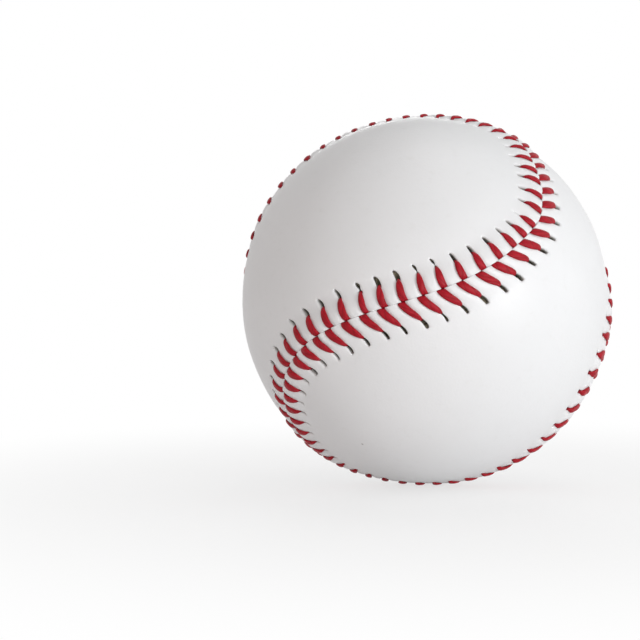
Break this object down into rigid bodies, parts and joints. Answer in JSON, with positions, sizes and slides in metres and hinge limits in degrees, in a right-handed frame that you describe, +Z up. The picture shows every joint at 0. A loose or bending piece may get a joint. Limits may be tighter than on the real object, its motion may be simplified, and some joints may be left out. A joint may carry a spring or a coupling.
{
  "type": "soft practice ball",
  "caption": "Hand-size soft practice ball with a sponge core, two figure-eight synthetic leather panels and a raised red herringbone seam.",
  "frame": {"origin": "centre of the ball", "axes": "+Y runs from the middle of the front seam crossing, which faces -Y, through the ball to the back crossing, and half a turn about it lays the seam line on itself; +Z is up as the ball is shown; +X points to the side where the right panel has its narrow waist"},
  "size_m": [0.0748, 0.0752, 0.075],
  "materials": {
    "sponge": "matte",
    "cover_leather": "satin",
    "waxed_thread": "satin"
  },
  "bodies": {
    "root": {"sponge_core": "sponge", "right_cover_panel": "cover_leather", "left_cover_panel": "cover_leather", "stitching_thread": "waxed_thread"}
  },
  "joints": []
}
